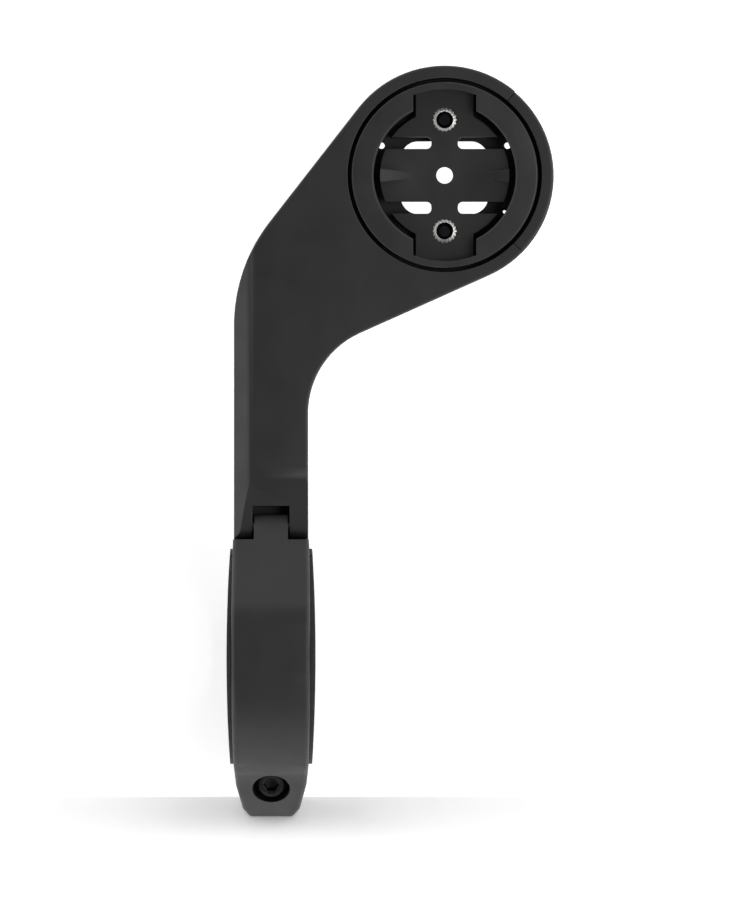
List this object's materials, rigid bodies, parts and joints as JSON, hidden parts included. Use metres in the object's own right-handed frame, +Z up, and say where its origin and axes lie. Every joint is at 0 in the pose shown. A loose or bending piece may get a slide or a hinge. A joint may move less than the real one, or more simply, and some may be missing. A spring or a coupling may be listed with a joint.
{
  "type": "out-front handlebar mount for a cycling computer",
  "caption": "Out-front handlebar mount: hinged bar clamp with rubber liner, offset arm, and a quarter-turn socket that holds a cycling computer ahead of the bar.",
  "frame": {"origin": "centre of the handlebar bore", "axes": "+X along the handlebar, +Y forward from the bar towards the socket, +Z up; the socket faces +Z"},
  "size_m": [0.0605, 0.1392, 0.042],
  "materials": {
    "nylon_black": "glass-filled nylon, moulded with a fine texture",
    "trim_black": "nylon trim, moulded, slightly finer texture",
    "puck_black": "acetal, moulded smooth",
    "liner_rubber": "moulded rubber, matt",
    "screw_black_oxide": "steel, black oxide",
    "pin_steel": "ground steel",
    "zinc_steel": "zinc-plated steel",
    "insert_nickel": "nickel-plated brass, knurled"
  },
  "bodies": {
    "mount_body": {"arm": "nylon_black", "front_rim": "trim_black", "lower_liner": "liner_rubber", "hinge_pin": "pin_steel", "clamp_nut": "zinc_steel", "puck": "puck_black", "insert_front": "insert_nickel", "insert_rear": "insert_nickel", "puck_screw_front": "screw_black_oxide", "puck_screw_rear": "screw_black_oxide"},
    "strap_body": {"clamp_strap": "nylon_black", "upper_liner": "liner_rubber"},
    "screw_body": {"clamp_screw": "screw_black_oxide", "clamp_washer": "screw_black_oxide"},
    "finger_left_body": {"detent_finger_left": "puck_black"},
    "finger_right_body": {"detent_finger_right": "puck_black"}
  },
  "joints": [
    {"name": "strap_hinge", "type": "hinge", "parent": "mount_body", "child": "strap_body", "pos_m": [0, 0.024, 0.0092], "axis": [-1, 0, 0], "range_deg": [0, 75]},
    {"name": "clamp_screw_travel", "type": "slide", "parent": "strap_body", "child": "screw_body", "axis": [0, -0.3579, 0.9337], "range_m": [0, 0.01]},
    {"name": "finger_left_flex", "type": "hinge", "parent": "mount_body", "child": "finger_left_body", "pos_m": [0.0297, 0.0892, 0.0076], "axis": [0, -1, 0], "range_deg": [0, 3.5], "stiffness_Nm_per_rad": 0.05},
    {"name": "finger_right_flex", "type": "hinge", "parent": "mount_body", "child": "finger_right_body", "pos_m": [0.0346, 0.0892, 0.0076], "axis": [0, 1, 0], "range_deg": [0, 3.5], "stiffness_Nm_per_rad": 0.05}
  ]
}
